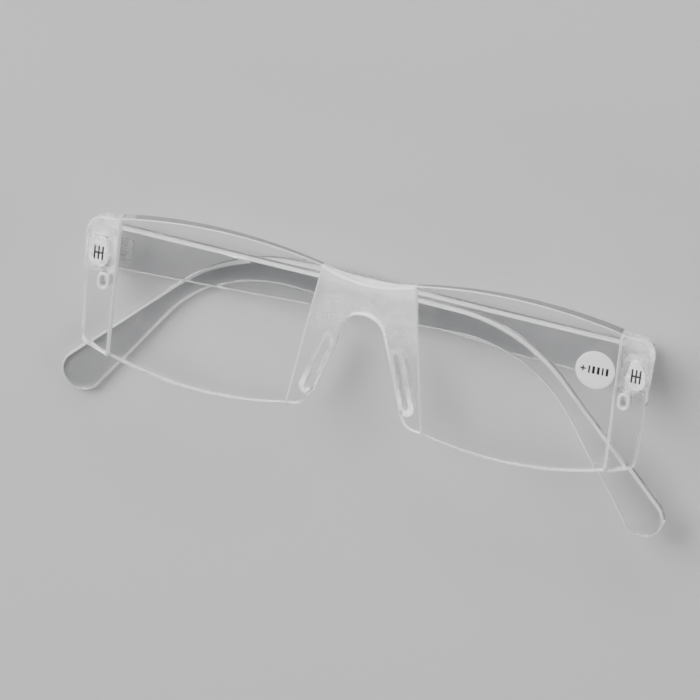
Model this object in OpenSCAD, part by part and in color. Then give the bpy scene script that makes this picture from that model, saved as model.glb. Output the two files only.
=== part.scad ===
// Clear moulded reading glasses, lying front up on their folded temples.
// +X runs along the width, +Y towards the brow, +Z out of the front.
// Left and right are the wearer's, so the right-hand parts are at -X.

/* [Front] */
// Half the width between the two outer lens seams
seam_half = 58.8; // [56:0.1:62]
// Half the width over the end pieces, near the top
front_half = 66.6; // [65:0.1:70]
// Thickness of the end pieces
end_t = 3.2; // [2.6:0.1:3.4]
// Thickness of the bridge legs
bridge_t = 1.8; // [1.6:0.1:2.4]
// How far the bridge swells out of its front at the middle
bridge_swell_front = 1.2; // [0.4:0.1:1.6]
// How far the bridge swells out of its back at the middle
bridge_swell_back = 1.0; // [0.4:0.1:1.4]
// Radius of the arch over the nose
arch_r = 4.75; // [4.2:0.05:5.4]
// Flare of the arch's legs from upright, in degrees
arch_flare = 18; // [15:0.5:20]

/* [Lenses] */
// Radius of the lens's front face
lens_front_r = 420; // [300:10:600]
// Radius of the lens's back face
lens_back_r = 520; // [400:10:900]
// Lens thickness beside the bridge
lens_t_in = 1.7; // [1.5:0.1:2]
// Lens thickness beside the end piece
lens_t_out = 3.1; // [2.4:0.1:3.3]
// Radius of the curved top edge
lens_top_r = 111.2; // [105:0.1:120]
// Radius of the curved bottom edge
lens_bottom_r = 84; // [80:0.5:95]
// Diameter of the paper power label
sticker_d = 9; // [7:0.1:9.2]

/* [Tag eyelets] */
// Width of the oval eyelet
eyelet_w = 2.9; // [2.4:0.1:3.2]
// Height of the oval eyelet
eyelet_h = 4.3; // [3.6:0.1:4.6]
// Width of the oval hole in it
eyelet_bore = 1.4; // [1.2:0.1:1.6]

/* [Nose pads] */
// Width of each pad loop
pad_w = 3.7; // [3.2:0.1:4]
// Width of the slot in each loop
pad_slot = 1.3; // [1:0.1:1.5]
// How far a pad stands out of the back of the bridge leg
pad_rise = 3.2; // [2.4:0.1:3.8]

/* [Hinges] */
// Hinge axis from the middle of the front
hinge_x = 62; // [61.8:0.1:62.2]
// Depth of the hinge axis behind the front face
hinge_d = 7.1; // [7:0.1:7.4]
// Radius of the knuckles
knuckle_r = 1.5; // [1.4:0.05:1.55]
// Radius of the screw's shank
screw_r = 0.6; // [0.5:0.05:0.65]
// Radial clearance of the shank in the knuckles
screw_gap = 0.05; // [0.02:0.01:0.08]
// Radius of the screw's head
head_r = 1.15; // [1:0.05:1.3]

/* [Temples] */
// Thickness of each temple
temple_t = 2.4; // [2.3:0.1:2.4]
// Height of the temple at its hinge end
temple_h = 10.94; // [10.4:0.02:11.4]
// Straight length from the hinge to the start of the bend
bend_u = 81.8; // [81:0.2:83]
// Radius of the bend along the temple's top edge
bend_r = 38; // [36:0.5:40]
// Radius of the bend along the temple's bottom edge
low_r = 32; // [31:0.5:33]
// Slope of the top edge after the bend, in degrees
drop_top = 44.7; // [43:0.1:46]
// Slope of the bottom edge after the bend, in degrees
drop_bottom = 55.5; // [55:0.1:56]
// Radius of the rounded tip
tip_r = 5; // [4.8:0.05:5.1]
// How far the inner (right) temple leans in towards the lenses, in degrees
inner_lay = 2.3; // [2.2:0.1:2.4]
// How far the outer (left) temple leans away from the lenses, in degrees
outer_lay = 1; // [1:0.1:1.2]

/* [Hidden] */
$fn = 96;

// Heights are measured from the level of the seams' tops, downwards negative.
brow_y = 1.2;           // highest point of the lens's top edge
lens_mid_x = 34.9;      // where the top and bottom edges are furthest apart
lens_low_y = -39;       // lowest point of the lens's bottom edge
seam_top = [10.97, -1.3];
seam_low = [16.07, -36.9];
saddle_y = -3;          // lowest point of the bridge's top edge
arch_y = -11.2;         // top of the arch
leg_y = -37;            // bottom of the legs
toe_r = 4.2;            // rounding at the inner foot of each leg
dome_y = -6;            // centre of the bridge's swelling
dome_r = 12;            // radius over which it dies away
end_top_y = -1.5;       // top of the end piece at the seam
knuckle_y = [-8.3, -10.6, -10.7, -13.3, -13.4, -15.7];
eyelet_at = [61.4, -17.4];
sticker_at = [54.1, -11.25];
temple_top_y = -7;
temple_off = 1.9;       // temple's inner face behind the hinge axis
butt_u = 2.2;           // temple's end beyond the hinge axis
plate_eps = 0.02;       // slack around parts set into pockets

// Bend of the temple's lower edge.
taper = 3.3;
low_u = 82.4;
low_start = [low_u, temple_top_y - temple_h + (low_u + butt_u) * tan(taper)];
low_c = low_start + low_r * [sin(taper), -cos(taper)];
low_end = low_c + low_r * [sin(drop_bottom), cos(drop_bottom)];
top_c = [bend_u, temple_top_y - bend_r];
top_end = top_c + bend_r * [sin(drop_top), cos(drop_top)];

// Tip circle, touching both sloping edges from the inside.
top_dir = [cos(drop_top), -sin(drop_top)];
low_dir = [cos(drop_bottom), -sin(drop_bottom)];
top_in = [-sin(drop_top), -cos(drop_top)];
low_in = [sin(drop_bottom), cos(drop_bottom)];
tip_base = low_end - top_end + tip_r * (low_in - top_in);
tip_s = (tip_base[0] * low_dir[1] - tip_base[1] * low_dir[0])
    / (top_dir[0] * low_dir[1] - top_dir[1] * low_dir[0]);
tip_c = top_end + tip_r * top_in + tip_s * top_dir;

// Place of the origin: middle of the bounding box, on the surface it lies on.
low_y = tip_c[1] - tip_r;
shift_y = round(-50 * (brow_y + low_y)) / 100;
depth_all = round(100 * (hinge_d + (temple_off + temple_t) * cos(outer_lay)
    + (tip_c[0] + tip_r) * sin(outer_lay))) / 100;

// ---- helpers ----

// Slab of a flat outline between two depths behind the front face.
module slab(d0, d1) {
    translate([0, shift_y, depth_all - d1]) linear_extrude(d1 - d0) children();
}

// Moves a solid drawn with z as depth behind the front face.
module at(x, y, d) translate([x, y + shift_y, depth_all - d]) children();

// Mirrors the wearer's left-hand part to the right-hand side.
module side(s) mirror([s < 0 ? 1 : 0, 0, 0]) children();

// Upright cylinder along Y from y0 up to y1 on the hinge axis.
module axis_rod(r, y0, y1) {
    at(hinge_x, y0, hinge_d) rotate([-90, 0, 0]) cylinder(r = r, h = y1 - y0);
}

function unit(v) = v / norm(v);
function fillet_cut(p, a, b, r) =
    let (h = acos(unit(a - p) * unit(b - p)) / 2) r / tan(h);
function fillet_c(p, a, b, r) =
    let (h = acos(unit(a - p) * unit(b - p)) / 2)
    p + unit(unit(a - p) + unit(b - p)) * r / sin(h);

// What an arc about c leaves over outside it, between the arc's ends t1 and t2
// and the points beyond them.
module arc_cut(c, r, t1, beyond, t2) {
    difference() {
        polygon(concat([c, t1], beyond, [t2]));
        translate(c) circle(r);
    }
}

// Convex outline with a radius at every corner.
module rounded(p, r) {
    n = len(p);
    difference() {
        polygon(p);
        for (i = [0 : n - 1]) if (r[i] > 0) {
            a = p[(i + n - 1) % n];
            b = p[(i + 1) % n];
            c = fillet_c(p[i], a, b, r[i]);
            t = fillet_cut(p[i], a, b, r[i]);
            arc_cut(c, r[i], p[i] + unit(a - p[i]) * t, [1.5 * p[i] - 0.5 * c], p[i] + unit(b - p[i]) * t);
        }
    }
}

// Upright slot shape with round ends.
module oval(w, h) {
    square([w, h - w], center = true);
    for (s = [-1, 1]) translate([0, s * (h - w) / 2]) circle(w / 2, $fn = 48);
}

// ---- front ----

module bridge_outline() {
    slope = tan(arch_flare);
    arch_c = [0, arch_y - arch_r];
    tangent = arch_c + arch_r * [cos(arch_flare), sin(arch_flare)];
    foot = [tangent[0] + (tangent[1] - leg_y) * slope, leg_y];
    below = [foot[0] + slope, leg_y - 1];
    top_r = (pow(seam_top[0], 2) + pow(seam_top[1] - saddle_y, 2)) / (2 * (seam_top[1] - saddle_y));
    lean = (seam_low[0] - seam_top[0]) / (seam_top[1] - seam_low[1]);
    low_x = seam_top[0] + (seam_top[1] - leg_y) * lean;
    cut = fillet_cut(foot, tangent, [low_x, leg_y], toe_r);
    c = fillet_c(foot, tangent, [low_x, leg_y], toe_r);
    difference() {
        polygon([[-seam_top[0], seam_top[1]], seam_top, [low_x, leg_y], [-low_x, leg_y]]);
        translate([0, saddle_y + top_r]) circle(top_r, $fn = 256);
        translate(arch_c) circle(arch_r);
        polygon([[-tangent[0], tangent[1]], tangent, below, [-below[0], below[1]]]);
        for (s = [-1, 1]) mirror([s < 0 ? 1 : 0, 0])
            arc_cut(c, toe_r, foot + unit(tangent - foot) * cut, [foot - [1, 1]], foot + [cut, 0]);
    }
}

module bridge() {
    front_r = dome_r * dome_r / (2 * bridge_swell_front) + bridge_swell_front / 2;
    back_r = dome_r * dome_r / (2 * bridge_swell_back) + bridge_swell_back / 2;
    color("gainsboro", 0.8) {
        slab(0, bridge_t) bridge_outline();
        intersection() {
            slab(-bridge_swell_front - 1, 0) bridge_outline();
            at(0, dome_y, front_r - bridge_swell_front) sphere(front_r, $fn = 128);
        }
        intersection() {
            slab(bridge_t, bridge_t + bridge_swell_back + 1) bridge_outline();
            at(0, dome_y, bridge_t + bridge_swell_back - back_r) sphere(back_r, $fn = 128);
        }
    }
}

module lens_outline() {
    lean = (seam_low[0] - seam_top[0]) / (seam_top[1] - seam_low[1]);
    intersection() {
        polygon([[seam_top[0] - 3 * lean, seam_top[1] + 3], [seam_half, seam_top[1] + 3],
            [seam_half, lens_low_y - 1], [seam_top[0] + (seam_top[1] - lens_low_y + 1) * lean, lens_low_y - 1]]);
        translate([lens_mid_x, brow_y - lens_top_r]) circle(lens_top_r, $fn = 256);
        translate([lens_mid_x, lens_low_y + lens_bottom_r]) circle(lens_bottom_r, $fn = 256);
    }
}

// Centres of the lens's two faces: [x, y, depth]
lens_in_x = 13.5;
lens_y = (brow_y + lens_low_y) / 2;
front_c = let (m = (lens_in_x + seam_half) / 2, half = (seam_half - lens_in_x) / 2)
    [m, lens_y, sqrt(lens_front_r * lens_front_r - half * half)];
back_c = let (w = seam_half - lens_in_x,
        m = (lens_in_x + seam_half) / 2 - (lens_t_out - lens_t_in) * lens_back_r / w)
    [m, lens_y, lens_t_in + sqrt(pow(lens_back_r, 2) - pow(lens_in_x - m, 2))];

module lens() {
    color("white", 0.25) difference() {
        intersection() {
            slab(-2, end_t + 2) lens_outline();
            at(front_c[0], front_c[1], front_c[2]) sphere(lens_front_r, $fn = 360);
        }
        at(back_c[0], back_c[1], back_c[2]) sphere(lens_back_r, $fn = 360);
    }
}

module end_outline() {
    rounded([[seam_half, end_top_y], [front_half - 0.2, end_top_y - 0.5],
        [front_half + 0.1, end_top_y - 5], [front_half - 1.1, -33.4], [seam_half, -35.9]],
        [0, 4.2, 0, 2.2, 0]);
}

// Teardrop seat of the front hinge.
module seat_outline(grow = 0) {
    translate([63.3, -12.2]) circle(2.3 + grow);
    translate([63, -8.2]) circle(1.3 + grow, $fn = 48);
    polygon([[61 - grow, -12], [65.6 + grow, -12], [64.3 + grow, -8.2], [61.7 - grow, -8.2]]);
}

module end_piece() {
    color("gainsboro", 0.35) difference() {
        slab(0, end_t) end_outline();
        slab(1, end_t + 1) seat_outline(plate_eps);
        slab(-1, end_t + 1) translate(eyelet_at) oval(eyelet_w + 2 * plate_eps, eyelet_h + 2 * plate_eps);
    }
}

module tag_eyelet() {
    color("white") slab(-0.3, end_t) translate(eyelet_at) difference() {
        oval(eyelet_w, eyelet_h);
        oval(eyelet_bore, eyelet_h - eyelet_w + eyelet_bore);
    }
}

// Long loop of a nose pad, along the inner edge of the leg.
module nose_pad() {
    color("white", 0.5) slab(bridge_t, bridge_t + pad_rise)
        translate([9.95, -25.9]) rotate(17) difference() {
            oval(pad_w, 16.4);
            oval(pad_slot, 16.4 - pad_w + pad_slot);
        }
}

module power_sticker() {
    color("white") intersection() {
        slab(-3, 3) translate(sticker_at) circle(sticker_d / 2);
        difference() {
            at(front_c[0], front_c[1], front_c[2]) sphere(lens_front_r + 0.12, $fn = 360);
            at(front_c[0], front_c[1], front_c[2]) sphere(lens_front_r, $fn = 360);
        }
    }
}

// ---- hinges ----

// Prongs and crossbar of the small metal anchor.
module anchor_outline() {
    for (i = [-1 : 1]) translate([63.3 + i * 0.95, -11]) square([0.45, 3.4], center = true);
    translate([63.3, -11]) square([2.3, 0.5], center = true);
}

module hinge_seat() {
    color("white", 0.8) difference() {
        union() {
            slab(1, end_t) seat_outline();
            slab(end_t, 5.3) translate([59.7, knuckle_y[5]])
                square([3.7, knuckle_y[0] - knuckle_y[5]]);
            for (i = [0, 4]) {
                axis_rod(knuckle_r, knuckle_y[i + 1], knuckle_y[i]);
                slab(5.3, hinge_d) translate([hinge_x - knuckle_r, knuckle_y[i + 1]])
                    square([2 * knuckle_r, knuckle_y[i] - knuckle_y[i + 1]]);
            }
        }
        axis_rod(screw_r + screw_gap, knuckle_y[5] - 1, knuckle_y[0] + 1);
        slab(0.9, 3.4) anchor_outline();
    }
}

module hinge_anchor() {
    color("dimgray") slab(1 + plate_eps, 3.4 - plate_eps) anchor_outline();
}

module hinge_screw() {
    color("silver") difference() {
        union() {
            axis_rod(screw_r, knuckle_y[5] + 0.2, knuckle_y[0] + 0.1);
            axis_rod(head_r, knuckle_y[0] + 0.05, knuckle_y[0] + 0.65);
        }
        at(hinge_x, knuckle_y[0] + 0.55, hinge_d) cube([3, 0.5, 0.35], center = true);
    }
}

// Turns a temple's parts by the angle at which it lies folded.
module lay(s) {
    pivot = [s * hinge_x, shift_y, depth_all - hinge_d];
    translate(pivot) rotate([0, s < 0 ? -inner_lay : -outer_lay, 0]) translate(-pivot) children();
}

// Outline of a temple in its own plane: u runs from the hinge to the tip.
module temple_outline() {
    heel = [-butt_u, temple_top_y - temple_h];
    top_start = [bend_u, temple_top_y];
    corner = top_start + [bend_r * tan(drop_top / 2), 0];
    top_far = tip_c - tip_r * top_in + 2 * tip_r * top_dir;
    low_far = tip_c - tip_r * low_in + 2 * tip_r * low_dir;
    difference() {
        polygon([[-butt_u, temple_top_y], corner, top_far, low_far, low_end, low_c, low_start, heel]);
        translate(low_c) circle(low_r, $fn = 128);
        arc_cut(top_c, bend_r, top_start, [corner + [1, 1]], top_end);
        arc_cut(tip_c, tip_r, tip_c - tip_r * top_in,
            [top_far + [1, 1], top_far + 2 * top_dir, low_far + 2 * low_dir, low_far - [1, 1]],
            tip_c - tip_r * low_in);
    }
}

module lug_pocket(d0, d1, grow = 0) {
    slab(d0, d1) for (i = [-1, 1]) translate([hinge_x - 1.4, -12 + i * 1.3])
        square([3.2 + 2 * grow, 0.8 + 2 * grow], center = true);
}

module temple(s) {
    lay(s) side(s) color("white", 0.3) difference() {
        slab(hinge_d + temple_off, hinge_d + temple_off + temple_t)
            translate([hinge_x, 0]) mirror([1, 0]) temple_outline();
        lug_pocket(hinge_d, hinge_d + temple_off + 1.4, plate_eps);
    }
}

// Moulded lug with the middle knuckle, let into the temple by two tabs.
module temple_lug(s) {
    lay(s) side(s) color("white", 0.7) difference() {
        union() {
            axis_rod(knuckle_r, knuckle_y[3], knuckle_y[2]);
            slab(hinge_d, hinge_d + temple_off) translate([hinge_x - knuckle_r, knuckle_y[3]])
                square([2 * knuckle_r, knuckle_y[2] - knuckle_y[3]]);
            slab(hinge_d + temple_off - 0.55, hinge_d + temple_off)
                translate([hinge_x - 4.4, knuckle_y[4] - 1.3]) square([3.1, 5.2]);
            slab(hinge_d + temple_off - 0.55, hinge_d + temple_off)
                translate([hinge_x - 4.4, knuckle_y[3]]) square([4.4, knuckle_y[2] - knuckle_y[3]]);
            lug_pocket(hinge_d + temple_off - 0.3, hinge_d + temple_off + 1.35);
        }
        axis_rod(screw_r + screw_gap, knuckle_y[3] - 1, knuckle_y[2] + 1);
    }
}

bridge();
side(-1) lens();  // lens_right
side(1) lens();  // lens_left
side(-1) end_piece();  // end_piece_right
side(1) end_piece();  // end_piece_left
side(-1) tag_eyelet();  // tag_eyelet_right
side(1) tag_eyelet();  // tag_eyelet_left
side(-1) nose_pad();  // nose_pad_right
side(1) nose_pad();  // nose_pad_left
side(-1) hinge_seat();  // hinge_seat_right
side(1) hinge_seat();  // hinge_seat_left
side(-1) hinge_anchor();  // hinge_anchor_right
side(1) hinge_anchor();  // hinge_anchor_left
side(-1) hinge_screw();  // hinge_screw_right
side(1) hinge_screw();  // hinge_screw_left
temple_lug(-1);  // temple_lug_right
temple_lug(1);  // temple_lug_left
temple(-1);  // temple_right
temple(1);  // temple_left
power_sticker();
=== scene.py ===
"""Looks of the clear folding reading glasses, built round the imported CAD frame."""

import math

import bmesh
import bpy
import numpy as np
from mathutils import Matrix, Vector
from mathutils.geometry import delaunay_2d_cdt


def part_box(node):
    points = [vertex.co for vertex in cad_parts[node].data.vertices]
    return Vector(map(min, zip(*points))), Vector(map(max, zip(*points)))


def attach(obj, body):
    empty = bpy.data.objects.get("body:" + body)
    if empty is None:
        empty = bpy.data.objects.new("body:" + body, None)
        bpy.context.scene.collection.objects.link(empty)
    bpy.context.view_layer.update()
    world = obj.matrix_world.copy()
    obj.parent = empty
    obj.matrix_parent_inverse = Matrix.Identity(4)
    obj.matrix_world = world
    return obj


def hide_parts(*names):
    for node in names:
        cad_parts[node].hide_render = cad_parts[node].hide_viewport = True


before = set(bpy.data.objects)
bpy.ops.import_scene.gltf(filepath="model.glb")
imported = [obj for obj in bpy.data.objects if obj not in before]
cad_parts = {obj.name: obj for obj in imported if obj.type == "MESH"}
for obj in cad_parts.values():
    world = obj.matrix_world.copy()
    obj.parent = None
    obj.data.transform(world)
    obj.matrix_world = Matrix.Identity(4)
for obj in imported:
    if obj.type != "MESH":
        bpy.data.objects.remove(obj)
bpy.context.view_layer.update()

# The design's own coordinates are millimetres: x along the width, y up the front and d, the
# depth behind the end pieces' front face. SHIFT_Y and FRONT_Z take them to the row frame.
BRIDGE_LOW = -37
SHIFT_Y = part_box("bridge")[0].y * 1000 - BRIDGE_LOW
FRONT_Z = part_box("end_piece_left")[1].z * 1000
HINGE_X, HINGE_D = 62.0, 7.1

PLASTIC_IOR = 1.5
SAME_POINT = 1e-7  # metres between points that are merged


def at(x, y, d):
    return Vector((x, y + SHIFT_Y, FRONT_Z - d)) * 0.001


# ---- mesh helpers ----


def arc(c, r, a0, a1, n):
    """Points on an arc from angle a0 to a1, in degrees."""
    out = []
    for i in range(n + 1):
        a = math.radians(a0 + (a1 - a0) * i / n)
        out.append((c[0] + r * math.cos(a), c[1] + r * math.sin(a)))
    return out


def line(a, b, step):
    n = max(1, round(math.dist(a, b) / step))
    return [(a[0] + (b[0] - a[0]) * i / n, a[1] + (b[1] - a[1]) * i / n) for i in range(n + 1)]


def outline(*parts):
    """Joins (points, front edge radius, back edge radius) parts into one closed loop."""
    pts, rf, rb = [], [], []
    for p, f, b in parts:
        for q in p:
            if pts and math.dist(pts[-1], q) < 1e-4:
                rf[-1], rb[-1] = f, b
                continue
            pts.append(q)
            rf.append(f)
            rb.append(b)
    if math.dist(pts[0], pts[-1]) < 1e-4:
        pts.pop()
        rf.pop()
        rb.pop()
    return np.array(pts), np.array(rf), np.array(rb)


def offsets(pts, r):
    """Inward moves that put every edge in by its own radius, and the drop at each point."""
    prev, nxt = np.roll(pts, 1, 0), np.roll(pts, -1, 0)

    def inward(a, b):
        d = b - a
        d /= np.linalg.norm(d, axis=1)[:, None]
        return np.stack([-d[:, 1], d[:, 0]], 1)

    n1, n2 = inward(prev, pts), inward(pts, nxt)
    r1, r2 = np.roll(r, 1), r
    det = n1[:, 0] * n2[:, 1] - n1[:, 1] * n2[:, 0]
    corner = np.abs(det) > 0.3  # turns sharper than about 17 degrees
    safe = np.where(corner, det, 1.0)
    ax = (r1 * n2[:, 1] - r2 * n1[:, 1]) / safe
    ay = (n1[:, 0] * r2 - n2[:, 0] * r1) / safe
    m = n1 + n2
    m /= np.linalg.norm(m, axis=1)[:, None]
    flat = m * ((r1 + r2) / 2 / np.maximum((m * n1).sum(1), 0.3))[:, None]
    move = np.where(corner[:, None], np.stack([ax, ay], 1), flat)
    return move, np.where(corner, np.maximum(r1, r2), (r1 + r2) / 2)


def inside(q, loops):
    """Which points lie inside the loops, holes left out, and how far each is from them."""
    hit = np.zeros(len(q), bool)
    near = np.full(len(q), 1e9)
    for pts in loops:
        a, b = pts, np.roll(pts, -1, 0)
        for p0, p1 in zip(a, b):
            across = (p0[1] > q[:, 1]) != (p1[1] > q[:, 1])
            x = p0[0] + (q[:, 1] - p0[1]) * (p1[0] - p0[0]) / (p1[1] - p0[1] + 1e-12)
            hit ^= across & (q[:, 0] < x)
            d = p1 - p0
            t = np.clip(((q - p0) @ d) / (d @ d + 1e-12), 0, 1)
            near = np.minimum(near, np.linalg.norm(q - p0 - t[:, None] * d, axis=1))
    return hit, near


def cap(loops, pitch):
    """Triangles over the loops, with inner points every pitch: (points, triangles)."""
    base = np.concatenate(loops)
    edges, start = [], 0
    for pts in loops:
        n = len(pts)
        edges += [(start + i, start + (i + 1) % n) for i in range(n)]
        start += n
    points = [tuple(p) for p in base]
    if pitch:
        lo, hi = base.min(0), base.max(0)
        rows = np.arange(lo[1] + pitch / 2, hi[1], pitch * 0.87)
        grid = []
        for j, y in enumerate(rows):
            left = lo[0] + pitch * (0.3 + 0.5 * (j % 2))
            grid += [(x, y) for x in np.arange(left, hi[0], pitch)]
        grid = np.array(grid)
        ok, near = inside(grid, loops)
        points += [tuple(p) for p in grid[ok & (near > pitch * 0.45)]]
    result = delaunay_2d_cdt([Vector(p) for p in points], edges, [], 2, 1e-7)
    verts, tris, origin = result[0], result[2], result[3]
    back = [o[0] if o else -1 for o in origin]
    assert min(back) >= 0 and len(verts) == len(points), "outline crosses itself"
    tris = np.array([[back[i] for i in t] for t in tris])
    start = len(loops[0])
    for hole in loops[1:]:
        on_hole = (tris >= start) & (tris < start + len(hole))
        tris = tris[~on_hole.all(1)]
        start += len(hole)
    return np.array(points), tris


def plate(name, loops, front, back, place=at, pitch=0, seg=4):
    """A closed plate between two depths, its edges rounded by each edge's own radii."""
    verts, faces, tops, bottoms, at_front, at_back = [], [], [], [], [], []
    for pts, rf, rb in loops:
        rings = []
        for r, surface, sign in ((rb, back, -1), (rf, front, 1)):
            move, drop = offsets(pts, r)
            side = []
            for k in range(seg + 1):
                th = math.pi / 2 * k / seg
                p = pts + move * (1 - math.cos(th))
                d = surface(p[:, 0], p[:, 1]) + sign * drop * (1 - math.sin(th))
                side.append((p, d))
            rings.append(side)
        order = rings[0][::-1] + rings[1]
        ids = []
        for p, d in order:
            ids.append(len(verts))
            verts += [(x, y, z) for (x, y), z in zip(p, d)]
        n = len(pts)
        for a, b in zip(ids, ids[1:]):
            faces += [(a + i, a + (i + 1) % n, b + (i + 1) % n, b + i) for i in range(n)]
        bottoms.append(order[0][0])
        tops.append(order[-1][0])
        at_back += range(ids[0], ids[0] + n)
        at_front += range(ids[-1], ids[-1] + n)
    for rim, known, surface in ((tops, at_front, front), (bottoms, at_back, back)):
        p, tris = cap(rim, pitch)
        extra = p[len(known):]
        ids = list(known) + list(range(len(verts), len(verts) + len(extra)))
        if len(extra):
            d = surface(extra[:, 0], extra[:, 1])
            verts += [(x, y, z) for (x, y), z in zip(extra, d)]
        faces += [tuple(ids[i] for i in t) for t in tris]
    me = bpy.data.meshes.new(name)
    me.from_pydata([place(*v) for v in verts], [], faces)
    return made(name, me)


def smooth(obj):
    """Shaded smooth, with large faces leading the normals."""
    for p in obj.data.polygons:
        p.use_smooth = True
    obj.modifiers.new("normals", "WEIGHTED_NORMAL").weight = 100
    return obj


def made(name, me):
    """A shown object from a mesh: normals out, loose bits gone, shaded smooth."""
    bm = bmesh.new()
    bm.from_mesh(me)
    bmesh.ops.remove_doubles(bm, verts=bm.verts, dist=SAME_POINT)
    bmesh.ops.dissolve_degenerate(bm, edges=bm.edges, dist=SAME_POINT)
    bmesh.ops.recalc_face_normals(bm, faces=bm.faces)
    if bm.calc_volume(signed=True) < 0:
        bmesh.ops.reverse_faces(bm, faces=bm.faces)
    bm.to_mesh(me)
    bm.free()
    obj = bpy.data.objects.new(name, me)
    bpy.context.scene.collection.objects.link(obj)
    return smooth(obj)


def bevelled(name, node, width, seg=3):
    """A copy of a CAD node with every edge sharper than 35 degrees rounded, by width metres."""
    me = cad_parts[node].data.copy()
    me.name = name
    me.materials.clear()
    bm = bmesh.new()
    bm.from_mesh(me)
    bmesh.ops.remove_doubles(bm, verts=bm.verts, dist=SAME_POINT)
    bmesh.ops.dissolve_limit(bm, angle_limit=math.radians(1.5), verts=bm.verts, edges=bm.edges)
    sharp = [e for e in bm.edges if len(e.link_faces) == 2
             and e.calc_face_angle(0) > math.radians(35)]
    bmesh.ops.bevel(bm, geom=sharp, offset=width, segments=seg, profile=0.5,
                    affect="EDGES", clamp_overlap=True)
    bmesh.ops.triangulate(bm, faces=[f for f in bm.faces if len(f.verts) > 4])
    bm.to_mesh(me)
    bm.free()
    return made(name, me)


def cut(obj, tool):
    """Takes the tool's volume out of obj."""
    mod = obj.modifiers.new("cut", "BOOLEAN")
    mod.operation, mod.solver, mod.object = "DIFFERENCE", "EXACT", tool
    dg = bpy.context.evaluated_depsgraph_get()
    me = bpy.data.meshes.new_from_object(obj.evaluated_get(dg))
    obj.modifiers.clear()
    obj.data = me
    bpy.data.objects.remove(tool)
    smooth(obj)


# ---- materials ----


def ramp(nt, source, stops):
    node = nt.nodes.new("ShaderNodeValToRGB")
    e = node.color_ramp.elements
    while len(e) < len(stops):
        e.new(0.5)
    for el, (pos, v) in zip(e, stops):
        el.position = pos
        el.color = (*v, 1) if isinstance(v, tuple) else (v, v, v, 1)
    nt.links.new(source, node.inputs["Fac"])
    return node.outputs["Color"]


def noise(nt, coord, scale, detail=3.0, rough=0.5, stretch=None):
    n = nt.nodes.new("ShaderNodeTexNoise")
    n.inputs["Scale"].default_value = scale
    n.inputs["Detail"].default_value = detail
    n.inputs["Roughness"].default_value = rough
    if stretch:
        m = nt.nodes.new("ShaderNodeMapping")
        m.inputs["Scale"].default_value = stretch
        nt.links.new(coord, m.inputs["Vector"])
        coord = m.outputs["Vector"]
    nt.links.new(coord, n.inputs["Vector"])
    return n.outputs["Fac"]


def maths(nt, op, a, b=None, c=None):
    n = nt.nodes.new("ShaderNodeMath")
    n.operation = op
    for i, v in enumerate((a, b, c)):
        if v is None:
            continue
        if isinstance(v, (int, float)):
            n.inputs[i].default_value = v
        else:
            nt.links.new(v, n.inputs[i])
    return n.outputs[0]


def bump(nt, bsdf, height, strength, distance):
    b = nt.nodes.new("ShaderNodeBump")
    b.inputs["Strength"].default_value = strength
    b.inputs["Distance"].default_value = distance
    nt.links.new(height, b.inputs["Height"])
    nt.links.new(b.outputs["Normal"], bsdf.inputs["Normal"])


def new_material(name):
    m = bpy.data.materials.new(name)
    m.use_nodes = True
    nt = m.node_tree
    coord = nt.nodes.new("ShaderNodeTexCoord").outputs["Object"]
    return m, nt, nt.nodes["Principled BSDF"], coord


def painted_highlight_mask(nt, face, wall=0.0):
    """Where highlights are painted: one on the rounded edges, nought on the faces, and wall on the
    walls between the edges.
    """
    off_wall = maths(nt, "MULTIPLY_ADD", smooth_step(nt, face, 0.05, 0.3), 1 - wall, wall)
    return maths(nt, "MULTIPLY", smooth_step(nt, face, 0.985, 0.85), off_wall)


def let_lamps_through(nt, b, tint):
    """Lamps reach what lies behind the surface, as through clear plastic."""
    mix = nt.nodes.new("ShaderNodeMixShader")
    clear = nt.nodes.new("ShaderNodeBsdfTransparent")
    clear.inputs["Color"].default_value = (tint, tint, tint, 1)
    nt.links.new(nt.nodes.new("ShaderNodeLightPath").outputs["Is Shadow Ray"], mix.inputs[0])
    nt.links.new(b.outputs[0], mix.inputs[1])
    nt.links.new(clear.outputs[0], mix.inputs[2])
    nt.links.new(mix.outputs[0], nt.nodes["Material Output"].inputs["Surface"])


def facing(nt):
    return maths(nt, "ABSOLUTE", xyz(nt, nt.nodes["Texture Coordinate"].outputs["Normal"])[2])


def clear_plastic(name, tint, rough, flow, strength, rim, wall, lit=None):
    """Polished clear plastic: faint moulding flow in the surface, smears in the gloss, and
    rounded edges with painted highlights. rim is how white that painted highlight is, and wall how
    much of it the flat walls get. With lit, lamps reach what lies behind, dimmed by it at each
    surface."""
    m, nt, b, co = new_material(name)
    # Painted highlight: the rounded edges, and by wall the walls, are made less see-through so
    # that they look white.
    white = maths(nt, "MULTIPLY", painted_highlight_mask(nt, facing(nt), wall), rim)
    nt.links.new(maths(nt, "SUBTRACT", 1.0, white), b.inputs["Transmission Weight"])
    b.inputs["IOR"].default_value = PLASTIC_IOR
    lo = tuple(c * 0.975 for c in tint)
    nt.links.new(ramp(nt, noise(nt, co, 160, 3), [(0.35, lo), (0.65, tint)]),
                 b.inputs["Base Color"])
    smear = noise(nt, co, 1.0, 4, 0.6, flow)
    nt.links.new(ramp(nt, smear, [(0.38, rough[0]), (0.72, rough[1])]), b.inputs["Roughness"])
    bump(nt, b, noise(nt, co, 1.0, 2, 0.4, tuple(f * 0.35 for f in flow)), strength, 0.0004)
    if lit:
        let_lamps_through(nt, b, lit)
    return m


def xyz(nt, coord):
    s = nt.nodes.new("ShaderNodeSeparateXYZ")
    nt.links.new(coord, s.inputs[0])
    return s.outputs


def smooth_step(nt, v, lo, hi):
    n = nt.nodes.new("ShaderNodeMapRange")
    n.interpolation_type = "SMOOTHSTEP"
    n.inputs["From Min"].default_value = lo
    n.inputs["From Max"].default_value = hi
    nt.links.new(v, n.inputs["Value"])
    return n.outputs["Result"]


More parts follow.
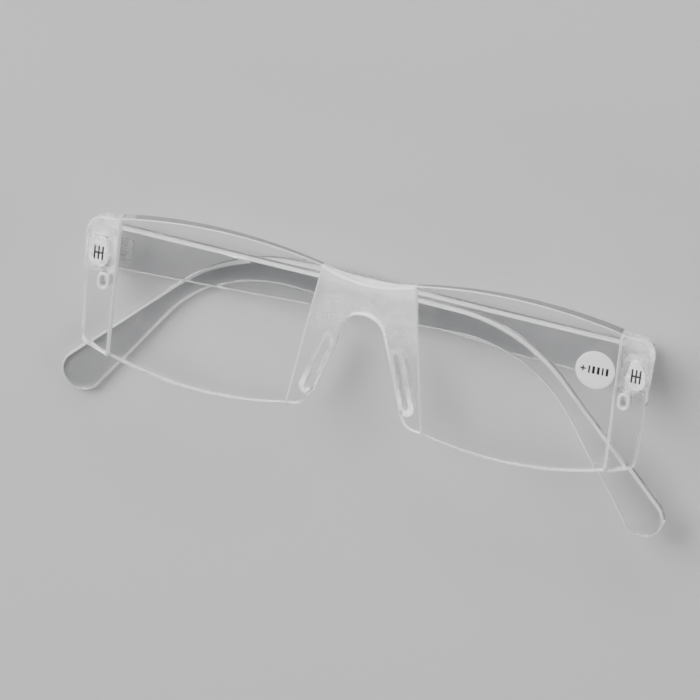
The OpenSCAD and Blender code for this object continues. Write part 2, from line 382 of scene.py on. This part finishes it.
def frosting(name, clear_y, matte_y, milk, rough, cloud, rim, behind=None):
    """Moulded plastic, its faces blasted matte above matte_y and running out to clear at clear_y.
    With behind, only what is deeper than that is matte. rim is the painted highlight on the
    rounded
    edges, how white they look: each entry fades in from its first height to its second, up to its
    whiteness."""
    m, nt, b, co = new_material(name)
    y, z = xyz(nt, co)[1:]
    wander = maths(nt, "MULTIPLY", maths(nt, "SUBTRACT", noise(nt, co, 1300, 5, 0.65), 0.5), 0.006)
    matte = smooth_step(nt, maths(nt, "ADD", y, wander), clear_y, matte_y)
    patches = smooth_step(nt, noise(nt, co, 1.0, 2, 0.5, cloud), 0.2, 0.8)
    matte = maths(nt, "MULTIPLY", matte, maths(nt, "MULTIPLY_ADD", patches, 0.35, 0.65))
    face = facing(nt)
    matte = maths(nt, "MULTIPLY", matte, smooth_step(nt, face, 0.55, 0.9))
    if behind is not None:
        matte = maths(nt, "MULTIPLY", matte, smooth_step(nt, z, behind, behind - 0.0008))
    grain = noise(nt, co, 4200, 3, 0.75)
    b.inputs["IOR"].default_value = PLASTIC_IOR
    tint = (0.985, 0.985, 0.985)
    nt.links.new(ramp(nt, grain, [(0.3, tuple(c * 0.95 for c in tint)), (0.7, tint)]),
                 b.inputs["Base Color"])
    uneven = maths(nt, "MULTIPLY_ADD", matte, rough, maths(nt, "MULTIPLY", grain, 0.05))
    nt.links.new(uneven, b.inputs["Roughness"])
    speckle = smooth_step(nt, noise(nt, co, 1900, 2, 0.6), 0.34, 0.66)
    white = maths(nt, "MULTIPLY", matte, maths(nt, "MULTIPLY_ADD", speckle, milk, milk * 0.5))
    # Painted highlight: the rounded edges are whitened in bands of height, over the real frosting.
    for y0, y1, amount in rim:
        edge = maths(nt, "MULTIPLY", painted_highlight_mask(nt, face), smooth_step(nt, y, y0, y1))
        white = maths(nt, "MAXIMUM", white, maths(nt, "MULTIPLY", edge, amount))
    nt.links.new(maths(nt, "SUBTRACT", 1.0, white), b.inputs["Transmission Weight"])
    bump(nt, b, maths(nt, "MULTIPLY", grain, matte), 0.35, 0.00006)
    let_lamps_through(nt, b, 0.85)
    return m


def gloss_loop(name, low_y, high_y, rough):
    """Clear glossy moulding with painted highlights: whitened along streaks, and more towards its
    lower end.
    """
    m, nt, b, co = new_material(name)
    y = xyz(nt, co)[1]
    streak = noise(nt, co, 1.0, 3, 0.5, (1400, 300, 1400))
    # Painted highlight: the loop is made less see-through and so white, more at its lower end and
    # along streaks.
    white = maths(nt, "MULTIPLY_ADD", smooth_step(nt, y, high_y, low_y), 0.5, 0.3)
    white = maths(nt, "MULTIPLY", white, maths(nt, "MULTIPLY_ADD", streak, 1.1, 0.5))
    nt.links.new(maths(nt, "SUBTRACT", 1.0, white), b.inputs["Transmission Weight"])
    b.inputs["IOR"].default_value = PLASTIC_IOR
    nt.links.new(ramp(nt, streak, [(0.3, (0.96, 0.96, 0.965)), (0.7, (1.0, 1.0, 1.0))]),
                 b.inputs["Base Color"])
    nt.links.new(ramp(nt, noise(nt, co, 600, 3), [(0.35, rough[0]), (0.7, rough[1])]),
                 b.inputs["Roughness"])
    bump(nt, b, streak, 0.15, 0.0002)
    return m


def milky(name, tint, see, rough, grain_scale=5200, cloud_scale=700, shade=0.9):
    """Fully blasted or tinted moulded plastic, such as the hinge seats. see is the share of
    light that passes, and shade how dark its clouds are against the tint."""
    m, nt, b, co = new_material(name)
    grain = noise(nt, co, grain_scale, 3, 0.65)
    cloud = noise(nt, co, cloud_scale, 2)
    b.inputs["IOR"].default_value = PLASTIC_IOR
    b.inputs["Transmission Weight"].default_value = see
    nt.links.new(ramp(nt, cloud, [(0.36, tuple(c * shade for c in tint)), (0.64, tint)]),
                 b.inputs["Base Color"])
    nt.links.new(ramp(nt, grain, [(0.3, rough[0]), (0.7, rough[1])]), b.inputs["Roughness"])
    bump(nt, b, grain, 0.4, 0.00005)
    return m


def metal(name, tone, rough, stretch):
    """Turned or stamped steel: fine tool lines and dull patches."""
    m, nt, b, co = new_material(name)
    lines = noise(nt, co, 1.0, 3, 0.6, stretch)
    b.inputs["Metallic"].default_value = 1.0
    dull = tuple(c * 0.75 for c in tone)
    nt.links.new(ramp(nt, noise(nt, co, 1500, 3), [(0.3, dull), (0.7, tone)]),
                 b.inputs["Base Color"])
    nt.links.new(ramp(nt, lines, [(0.3, rough[0]), (0.7, rough[1])]), b.inputs["Roughness"])
    bump(nt, b, lines, 0.3, 0.00003)
    return m


LABEL = (54.1, -11.25)
# The print on the label, as (middle x, middle y, width, height) bars about its centre.
PRINT = ((-2.75, 0, 1.3, 0.36), (-2.75, 0, 0.36, 1.3), (-1.35, 0, 0.42, 1.8),
         (-0.35, 0, 0.62, 1.8), (0.75, 0, 0.62, 1.8), (1.75, 0, 0.42, 1.8), (2.75, 0, 0.62, 1.8))


def label_paper(name):
    """White coated paper with a plain printed plus sign and bars."""
    m, nt, b, co = new_material(name)
    mid = at(*LABEL, 0)
    s = xyz(nt, co)
    x = maths(nt, "MULTIPLY", maths(nt, "SUBTRACT", s["X"], mid.x), 1000)
    y = maths(nt, "MULTIPLY", maths(nt, "SUBTRACT", s["Y"], mid.y), 1000)
    fibre = noise(nt, co, 5000, 4, 0.7)
    soak = maths(nt, "MULTIPLY_ADD", fibre, 0.12, -0.06)
    ink = None
    for cx, cy, w, h in PRINT:
        dx = maths(nt, "SUBTRACT", maths(nt, "ABSOLUTE", maths(nt, "SUBTRACT", x, cx)), w / 2)
        dy = maths(nt, "SUBTRACT", maths(nt, "ABSOLUTE", maths(nt, "SUBTRACT", y, cy)), h / 2)
        d = maths(nt, "ADD", maths(nt, "MAXIMUM", dx, dy), soak)
        ink = d if ink is None else maths(nt, "MINIMUM", ink, d)
    fill = smooth_step(nt, ink, 0.05, -0.05)
    mix = nt.nodes.new("ShaderNodeMix")
    mix.data_type = "RGBA"
    nt.links.new(fill, mix.inputs["Factor"])
    paper = ramp(nt, noise(nt, co, 900, 4),
                 [(0.3, (0.92, 0.92, 0.91)), (0.7, (0.97, 0.97, 0.965))])
    nt.links.new(paper, mix.inputs["A"])
    mix.inputs["B"].default_value = (0.02, 0.02, 0.022, 1)
    nt.links.new(mix.outputs["Result"], b.inputs["Base Color"])
    nt.links.new(maths(nt, "MULTIPLY_ADD", fill, -0.15, 0.5), b.inputs["Roughness"])
    bump(nt, b, fibre, 0.25, 0.00003)
    return m


Y = SHIFT_Y / 1000
EVERYWHERE = (Y - 1, Y - 0.9)  # heights in metres that lie below every piece
# In the plastics, rim and wall are painted highlights that whiten the rounded edges and walls.
MAT = {
    "bridge": frosting("frosted_to_clear", Y - 0.022, Y - 0.009, milk=0.36, rough=0.4,
                       cloud=(420, 420, 420),
                       rim=[(Y - 0.026, Y - 0.014, 0.9), (Y - 0.029, Y - 0.036, 0.6),
                            (*EVERYWHERE, 0.22)]),
    "lens": clear_plastic("lens_plastic", (0.997, 0.998, 0.999), rough=(0.0, 0.02),
                          flow=(260, 260, 260), strength=0.03, rim=0.5, wall=0.5, lit=0.7),
    "end": frosting("end_plastic", Y - 0.0167, Y - 0.0148, milk=0.42, rough=0.34,
                    cloud=(900, 260, 500), rim=[(*EVERYWHERE, 0.3)],
                    behind=FRONT_Z / 1000 - 0.0014),
    "temple": clear_plastic("temple_plastic", (0.996, 0.998, 0.999), rough=(0.0, 0.035),
                            flow=(60, 400, 400), strength=0.05, rim=0.5, wall=0.3),
    "pad": gloss_loop("pad_plastic", Y - 0.0315, Y - 0.0255, rough=(0.02, 0.08)),
    "lug": milky("lug_plastic", (0.97, 0.975, 0.98), see=0.85, rough=(0.12, 0.3),
                 grain_scale=2600),
    "seam": milky("seam_plastic", (0.97, 0.97, 0.975), see=0.3, rough=(0.25, 0.45),
                  grain_scale=2600),
    "eyelet": milky("eyelet_plastic", (0.96, 0.96, 0.96), see=0.1, rough=(0.12, 0.3)),
    "seat": milky("seat_plastic", (0.99, 0.99, 0.99), see=0.12, rough=(0.3, 0.55),
                  cloud_scale=1300, shade=0.68),
    "anchor": metal("anchor_steel", (0.1, 0.1, 0.105), (0.35, 0.6), (3000, 9000, 3000)),
    "screw": metal("screw_steel", (0.62, 0.62, 0.64), (0.16, 0.34), (2500, 12000, 2500)),
    "label": label_paper("label_paper"),
}


def finish_piece(obj, key, slot, body, *nodes):
    obj.data.materials.clear()
    obj.data.materials.append(MAT[key])
    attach(obj, body)
    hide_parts(*nodes)


# ---- outlines ----

# The inner seams start at SEAM_TOP and lean out by SEAM_LEAN; the outer ones are upright.
SEAM_TOP, SEAM_LEAN, SEAM_X = (10.97, -1.3), 0.14326, 58.8
GAP = 0.035  # air on either side of a seam
SLIT = 0.03  # air between faces that would otherwise lie in one plane
END_BACK = 3.2  # depth of the end pieces' back face
TAG_HOLE = (61.4, -17.4)
PAD, PAD_LEAN = (9.95, -25.9), 17
ARM_FRONT, ARM_BACK = 9.0, 11.4


def seam_x(y):
    return SEAM_TOP[0] + (SEAM_TOP[1] - y) * SEAM_LEAN


def matte_seams(obj, reach=0.07, flattest=0.5):
    """The walls along the bonded seams are left matte: faces within reach of a seam that lie no
    flatter to the front than flattest."""
    obj.data.materials.append(MAT["seam"])
    for p in obj.data.polygons:
        x, y = abs(p.center.x) * 1000, p.center.y * 1000 - SHIFT_Y
        on_seam = abs(x - seam_x(y)) < reach or abs(x - SEAM_X) < reach
        if on_seam and abs(p.normal.z) < flattest and abs(p.normal.x) > 0.25:
            p.material_index = 1


def backwards(loop):
    """The same loop run the other way round."""
    pts, rf, rb = loop
    return pts[::-1], np.roll(rf[::-1], -1), np.roll(rb[::-1], -1)


def mirrored(loop):
    pts, rf, rb = backwards(loop)
    return pts * (-1, 1), rf, rb


def flat(d):
    return lambda x, y: np.full(np.shape(x), float(d))


def bridge_loop():
    """The bridge: a hollow top edge, leaning seams, and legs either side of a flared arch."""
    half_top, sag = SEAM_TOP[0], 1.7
    top_r = (half_top**2 + sag**2) / (2 * sag)
    half = math.degrees(math.asin(half_top / top_r))
    arch, arch_r, flare = (0, -15.95), 4.75, 18
    fl = math.radians(flare)
    tangent = (arch_r * math.cos(fl), arch[1] + arch_r * math.sin(fl))
    toe_r = 4.2
    foot = tangent[0] + (tangent[1] - BRIDGE_LOW) * math.tan(fl)
    toe = (foot + toe_r / math.tan(math.radians(45 + flare / 2)), BRIDGE_LOW + toe_r)
    leg_end = -34.098
    leg_x = tangent[0] + (tangent[1] - leg_end) * math.tan(fl)
    low_x = seam_x(BRIDGE_LOW)
    edge, small, top_edge = 0.86, 0.15, 0.8
    right = line((low_x, BRIDGE_LOW), SEAM_TOP, 1.2)
    parts = [
        (right, small, small),
        (arc((0, -3 + top_r), top_r, -90 + half, -90 - half, 40), top_edge, top_edge),
        ([(-x, y) for x, y in right[::-1]], small, small),
        (line((-low_x, BRIDGE_LOW), (-toe[0], BRIDGE_LOW), 0.6), edge, edge),
        (arc((-toe[0], toe[1]), toe_r, -90, -flare, 18), edge, edge),
        (line((-leg_x, leg_end), (-tangent[0], tangent[1]), 0.8), edge, edge),
        (arc(arch, arch_r, 180 - flare, flare, 36), edge, edge),
        (line(tangent, (leg_x, leg_end), 0.8), edge, edge),
        (arc(toe, toe_r, 180 + flare, 270, 18), edge, edge),
        (line((toe[0], BRIDGE_LOW), (low_x, BRIDGE_LOW), 0.6), edge, edge),
    ]
    return outline(*parts)


def dome(x, y):
    """How far the bridge swells out, from one at its middle to nought at 14.5 mm from there."""
    rho = np.hypot(x, np.asarray(y) + 6.0)
    return np.cos(np.clip(rho / 14.5, 0, 1) * math.pi / 2) ** 2


# Centres and radii of the lens's top and bottom edges.
LENS_TOP, LENS_TOP_R = (34.9, 1.2 - 111.2), 111.2
LENS_LOW, LENS_LOW_R = (34.9, -39 + 84.0), 84.0


def lens_faces():
    """Depths of the lens's front and back faces, as spheres through the given thicknesses."""
    inner = 13.5
    m, half, ly = (inner + SEAM_X) / 2, (SEAM_X - inner) / 2, (1.2 - 39) / 2
    rf, rb, t_in, t_out = 420.0, 520.0, 1.7, 3.1
    fc = (m, ly, math.sqrt(rf**2 - half**2))
    bx = m - (t_out - t_in) * rb / (SEAM_X - inner)
    bc = (bx, ly, t_in + math.sqrt(rb**2 - (inner - bx) ** 2))

    def front(x, y):
        return fc[2] - np.sqrt(rf**2 - (np.abs(x) - fc[0]) ** 2 - (y - fc[1]) ** 2)

    def back(x, y):
        return bc[2] - np.sqrt(rb**2 - (np.abs(x) - bc[0]) ** 2 - (y - bc[1]) ** 2)

    return front, back


def lens_loop():
    def edge_arc(c, r, x0, x1, sign):
        a0, a1 = (math.degrees(math.atan2(sign * math.sqrt(r * r - (x - c[0]) ** 2), x - c[0]))
                  for x in (x0, x1))
        return arc(c, r, a0, a1, 60)

    x_in_top, x_in_low, x_out = seam_x(-1.4) + GAP, seam_x(-36.85) + GAP, SEAM_X - GAP
    top = edge_arc(LENS_TOP, LENS_TOP_R, x_out, x_in_top, 1)
    low = edge_arc(LENS_LOW, LENS_LOW_R, x_in_low, x_out, -1)
    edge, seam = 0.3, 0.08
    return outline((low, edge, edge), (line(low[-1], top[0], 1.5), seam, seam),
                   (top, edge, edge), (line(top[-1], low[0], 1.5), seam, seam))


def corner(p, a, b, r, n):
    """Points rounding corner p between its neighbours a and b."""
    p, a, b = Vector(p), Vector(a), Vector(b)
    u, v = (a - p).normalized(), (b - p).normalized()
    h = math.acos(u.dot(v)) / 2
    c = p + (u + v).normalized() * (r / math.sin(h))
    t0, t1 = p + u * (r / math.tan(h)), p + v * (r / math.tan(h))
    a0 = math.degrees(math.atan2(t0.y - c.y, t0.x - c.x))
    a1 = math.degrees(math.atan2(t1.y - c.y, t1.x - c.x))
    turn = (a1 - a0 + 180) % 360 - 180
    return arc(c, r, a0, a0 + turn, n)


def end_loop():
    x = SEAM_X + GAP
    top_in, low_in, low_out, side, top_out = \
        (x, -1.5), (x, -35.9), (65.5, -33.4), (66.7, -6.5), (66.4, -2.0)
    low = corner(low_out, low_in, side, 2.2, 14)
    top = corner(top_out, side, top_in, 4.2, 22)
    e = 0.75
    return outline((line(top_in, low_in, 1.5), 0.42, 0.3),
                   (line(low_in, low[0], 1.0), e, e), (low, e, e),
                   (line(low[-1], side, 1.5), e, e), (line(side, top[0], 0.4), e, e),
                   (top, e, e), (line(top[-1], top_in, 0.7), e, e))


def oval_loop(c, w, h, turn, rf, rb, hole=False):
    """A slot shape, w by h, its long way turned from upright by some degrees."""
    a, n = math.radians(turn), 14
    ax = Vector((-math.sin(a), math.cos(a))) * ((h - w) / 2)
    c = Vector(c)
    pts = arc(c + ax, w / 2, turn, turn + 180, n) + arc(c - ax, w / 2, turn + 180, turn + 360, n)
    if hole:
        pts = pts[::-1]
    return outline((pts, rf, rb), ([pts[0]], rf, rb))


def seat_loop(grow, rf, rb):
    """The hinge seat's teardrop, round two circles and grown on every side."""
    c0, r0, c1, r1 = (63.3, -12.2), 2.3 + grow, (63.0, -8.2), 1.3 + grow
    d = math.dist(c0, c1)
    lean = math.degrees(math.atan2(c1[1] - c0[1], c1[0] - c0[0]))
    s = math.degrees(math.acos((r0 - r1) / d))
    pts = arc(c1, r1, lean - s, lean + s, 18) + arc(c0, r0, lean + s, lean - s + 360, 30)
    return outline((pts, rf, rb), ([pts[0]], rf, rb))


def temple_loop():
    """Outline in the temple's own plane: u from the hinge to the tip, and y.

    A straight arm that tapers, bends down in one arc along its top and one along its bottom, and
    ends in a round tip that touches the slopes after both bends."""
    top_y, height, butt, start, low_start_u = -7.0, 10.94, -2.2, 81.8, 82.4
    top_r, low_r, tip_r = 38.0, 32.0, 5.0
    top_bend, low_slope, taper = 44.7, 55.5, 3.3
    dt, db, tp = math.radians(top_bend), math.radians(low_slope), math.radians(taper)
    low_start = (low_start_u, top_y - height + (low_start_u - butt) * math.tan(tp))
    low_c = (low_start[0] + low_r * math.sin(tp), low_start[1] - low_r * math.cos(tp))
    low_end = (low_c[0] + low_r * math.sin(db), low_c[1] + low_r * math.cos(db))
    top_c = (start, top_y - top_r)
    top_end = (top_c[0] + top_r * math.sin(dt), top_c[1] + top_r * math.cos(dt))
    td, ld = Vector((math.cos(dt), -math.sin(dt))), Vector((math.cos(db), -math.sin(db)))
    ti, li = Vector((-math.sin(dt), -math.cos(dt))), Vector((math.sin(db), math.cos(db)))
    b = Vector(low_end) - Vector(top_end) + tip_r * (li - ti)
    s = (b.x * ld.y - b.y * ld.x) / (td.x * ld.y - td.y * ld.x)
    tip = Vector(top_end) + tip_r * ti + s * td
    t0, t1 = tip - tip_r * ti, tip - tip_r * li
    a0 = math.degrees(math.atan2(-ti.y, -ti.x))
    a1 = math.degrees(math.atan2(-li.y, -li.x)) % 360 - 360
    heel = (butt, top_y - height)
    loop = outline(
        (line((butt, top_y), (start, top_y), 2.0)
         + arc(top_c, top_r, 90, 90 - top_bend, 40), 1.1, 0.5),
        (line(top_end, t0, 1.2), 0.9, 0.5),
        (arc(tip, tip_r, a0, a1, 40), 0.9, 0.5),
        (line(t1, low_end, 1.2) + arc(low_c, low_r, 90 - low_slope, 90 + taper, 50)
         + line(low_start, heel, 2.0), 1.1, 0.45),
        (line(heel, (butt, top_y), 2.2), 0.35, 0.35))
    return backwards(loop)


# ---- the front ----

bridge = plate("bridge_moulding", [bridge_loop()], lambda x, y: -1.2 * dome(x, y),
               lambda x, y: 1.8 + 1.0 * dome(x, y), pitch=1.1, seg=6)
finish_piece(bridge, "bridge", "frosted_clear", "front", "bridge")
matte_seams(bridge, 0.18, 0.97)


def pad_back(x, y):
    """Depth of a nose pad's back, which falls away towards both of its ends."""
    a = math.radians(PAD_LEAN)
    t = -math.sin(a) * (np.abs(x) - PAD[0]) + math.cos(a) * (y - PAD[1])
    return 5.0 - 0.011 * t * t


# The small metal and matte hinge parts: (piece, CAD node, material, slot, edge width, segments).
HINGE_PARTS = (("hinge_seat_block", "hinge_seat", "seat", "seat_frosted", 0.00018, 3),
               ("hinge_prongs", "hinge_anchor", "anchor", "anchor_steel", 0.00006, 2),
               ("hinge_pin", "hinge_screw", "screw", "screw_steel", 0.0001, 3))

lens_front, lens_back = lens_faces()
for side, turned in (("right", mirrored), ("left", lambda loop: loop)):
    lens = plate(f"lens_plate_{side}", [turned(lens_loop())], lens_front, lens_back,
                 pitch=1.8, seg=3)
    finish_piece(lens, "lens", "lens_clear", "front", f"lens_{side}")
    matte_seams(lens)

    hole = oval_loop(TAG_HOLE, 2.96, 4.36, 0, 0.05, 0.05, hole=True)
    end = plate(f"end_block_{side}", [turned(end_loop()), turned(hole)],
                flat(0), flat(END_BACK - SLIT))
    pocket = plate("pocket", [turned(seat_loop(0.03, 0.01, 0.01))],
                   flat(1 - SLIT), flat(4.5), seg=1)
    cut(end, pocket)
    finish_piece(end, "end", "frame_clear", "front", f"end_piece_{side}")
    matte_seams(end, 0.46, 0.97)

    ring = plate(f"tag_ring_{side}", [
        turned(oval_loop(TAG_HOLE, 2.9, 4.3, 0, 0.3, 0.3)),
        turned(oval_loop(TAG_HOLE, 1.4, 2.8, 0, 0.3, 0.3, hole=True)),
    ], flat(-0.3), flat(END_BACK))
    finish_piece(ring, "eyelet", "eyelet_white", "front", f"tag_eyelet_{side}")

    pad = plate(f"nose_pad_loop_{side}", [
        turned(oval_loop(PAD, 3.7, 16.4, PAD_LEAN, 0.1, 0.75)),
        turned(oval_loop(PAD, 1.3, 14.0, PAD_LEAN, 0.1, 0.4, hole=True)),
    ], flat(1.8 + 0.01), pad_back, seg=5)
    finish_piece(pad, "pad", "pad_clear", "front", f"nose_pad_{side}")

    for piece, node, key, slot, width, seg in HINGE_PARTS:
        part = bevelled(f"{piece}_{side}", f"{node}_{side}", width, seg)
        finish_piece(part, key, slot, "front", f"{node}_{side}")

# The label lies on the lens's front face.
label = plate("label_disc", [outline((arc(LABEL, 4.49, 0, 360, 96), 0.03, 0.0))],
              lambda x, y: lens_front(x, y) - 0.115, lambda x, y: lens_front(x, y) - 0.004,
              pitch=0.9, seg=2)
finish_piece(label, "label", "label_paper", "front", "power_sticker")

# ---- the temples ----


def arm_front(u, y):
    """Depth of an arm's front: it thins a little from u = 20 to its tip."""
    return ARM_FRONT + SLIT + 0.2 * np.clip((u - 20) / 90, 0, 1)


# The folded arms lean by these angles, so that the right one clears the left one.
for side, s, lay in (("right", -1, -2.3), ("left", 1, -1.0)):
    pivot = at(s * HINGE_X, 0, HINGE_D)
    turn = Matrix.Translation(pivot) @ Matrix.Rotation(math.radians(lay), 4, "Y") \
        @ Matrix.Translation(-pivot)

    def lie(u, y, d, s=s, turn=turn):
        return turn @ at(s * (HINGE_X - u), y, d)

    arm = plate(f"temple_arm_{side}", [temple_loop()], arm_front, flat(ARM_BACK), place=lie,
                pitch=2.0, seg=6)
    body = f"temple_{side}"
    finish_piece(arm, "temple", "temple_clear", body, f"temple_{side}")
    lug = bevelled(f"temple_hinge_lug_{side}", f"temple_lug_{side}", 0.00015)
    finish_piece(lug, "lug", "seat_frosted", body, f"temple_lug_{side}")

# ---- floor, light and camera ----

me = bpy.data.meshes.new("floor")
bm = bmesh.new()
bmesh.ops.create_grid(bm, x_segments=8, y_segments=8, size=4)
bm.to_mesh(me)
bm.free()
floor = bpy.data.objects.new("floor", me)
bpy.context.scene.collection.objects.link(floor)
floor.location.z = -0.00002  # a hair under the arm that the glasses lie on
m, nt, b, co = new_material("pale_floor")
nt.links.new(ramp(nt, noise(nt, co, 3, 2),
                  [(0.3, (0.52, 0.52, 0.53)), (0.7, (0.55, 0.55, 0.555))]),
             b.inputs["Base Color"])
b.inputs["Roughness"].default_value = 0.9
me.materials.append(m)


# Soft lights, all aimed at the origin: (name, place, width, height, watts). They are large for
# their power, because strong light is clamped where it comes through glass.
for name, loc, width, height, watts in (
        ("key", (-0.8, 0.9, 1.2), 1.2, 1.2, 40),
        ("back_strip", (0.1, 1.3, 0.5), 1.2, 0.26, 9),
        ("front_strip", (0.0, -1.3, 0.4), 1.2, 0.22, 7),
        ("left_strip", (-1.3, 0.0, 0.5), 1.1, 0.22, 7),
        ("right_strip", (1.3, -0.1, 0.45), 1.1, 0.22, 7)):
    data = bpy.data.lights.new(name, "AREA")
    data.shape, data.size, data.size_y, data.energy = "RECTANGLE", width, height, watts
    lamp = bpy.data.objects.new(name, data)
    lamp.location = loc
    lamp.rotation_mode = "QUATERNION"
    lamp.rotation_quaternion = (-Vector(loc)).to_track_quat("-Z", "Y")
    bpy.context.scene.collection.objects.link(lamp)

world = bpy.data.worlds.new("studio")
bpy.context.scene.world = world
world.use_nodes = True
bg = world.node_tree.nodes["Background"]
bg.inputs["Color"].default_value = (0.95, 0.97, 1.0, 1)
bg.inputs["Strength"].default_value = 0.04

# The camera stands as the photograph's did, solved from the seams, the outline and the label.
cam_data = bpy.data.cameras.new("camera")
cam_data.sensor_width, cam_data.lens = 36.0, 411.4
cam_data.clip_start, cam_data.clip_end = 0.1, 20
cam = bpy.data.objects.new("camera", cam_data)
bpy.context.scene.collection.objects.link(cam)
cam.matrix_world = Matrix((
    (0.9464, -0.2204, 0.2361, 0.42),
    (0.1042, 0.9003, 0.4226, 0.7358 + SHIFT_Y / 1000),
    (-0.3057, -0.3754, 0.8750, 1.5652 + FRONT_Z / 1000),
    (0, 0, 0, 1),
))
bpy.context.scene.camera = cam
